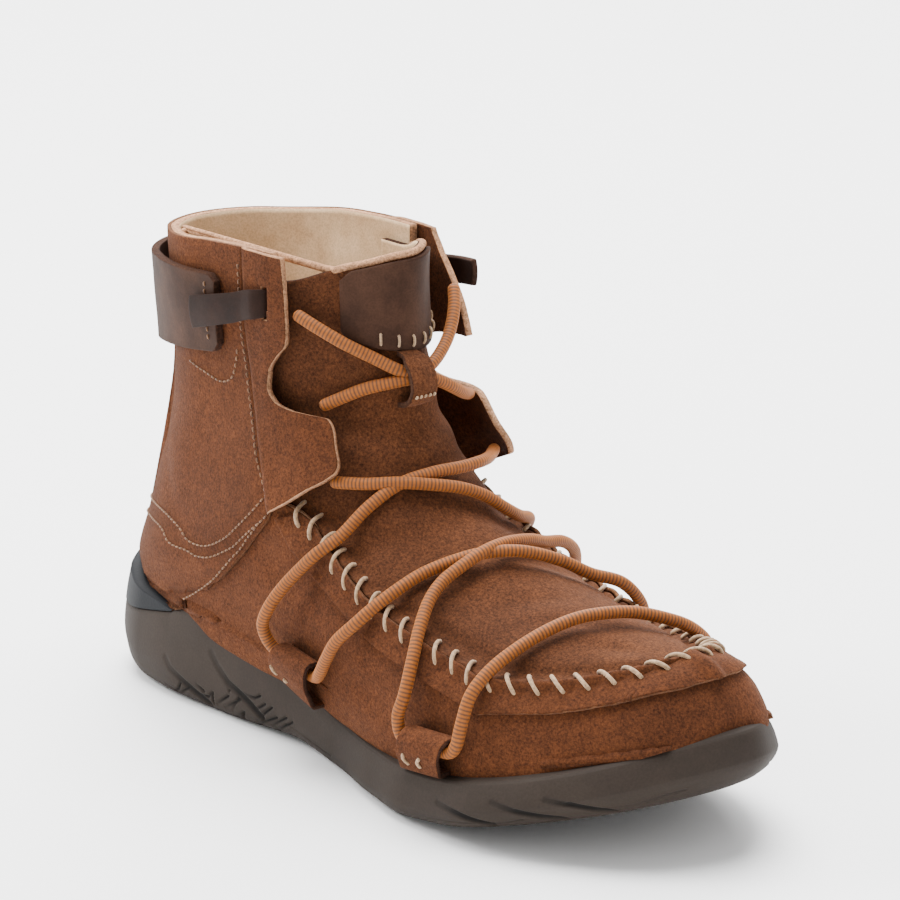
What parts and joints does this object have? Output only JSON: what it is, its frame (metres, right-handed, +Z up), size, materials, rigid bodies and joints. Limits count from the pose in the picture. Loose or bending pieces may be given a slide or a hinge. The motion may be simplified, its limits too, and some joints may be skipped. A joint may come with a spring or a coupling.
{
  "type": "moccasin boot",
  "caption": "Ankle-high suede moccasin boot for the right foot, with a hand-stitched apron toe, a moulded cup sole and an elastic lace through suede loops.",
  "frame": {"origin": "middle of the heel's flat face, on the plane the boot stands on", "axes": "+X towards the toe, +Y towards the inner (medial) side, +Z up"},
  "size_m": [0.29, 0.1097, 0.168],
  "materials": {
    "sole_rubber": "matt, lightly textured",
    "clip_rubber": "matt, smooth",
    "footbed": "brushed leather-faced textile",
    "suede": "napped suede, matt",
    "smooth_leather": "dark, waxed, low sheen",
    "elastic_cord": "braided elastic, fine cross-ribs"
  },
  "bodies": {
    "root": {"outsole": "sole_rubber", "heel_clip": "clip_rubber", "insole": "footbed", "upper": "suede", "apron_tongue": "suede", "seam_strip": "suede", "facing_lateral": "suede", "facing_medial": "suede", "tongue_label": "smooth_leather", "ankle_band": "smooth_leather", "strap_tab_lateral": "smooth_leather", "strap_tab_medial": "smooth_leather", "lace_keeper": "suede", "lace_loop_rear_lateral": "suede", "lace_loop_rear_medial": "suede", "lace_loop_front_lateral": "suede", "lace_loop_front_medial": "suede", "lace_upper_crossing": "elastic_cord", "lace_middle_crossing": "elastic_cord", "lace_lower_crossing": "elastic_cord", "lace_toe_bar": "elastic_cord"}
  },
  "joints": []
}
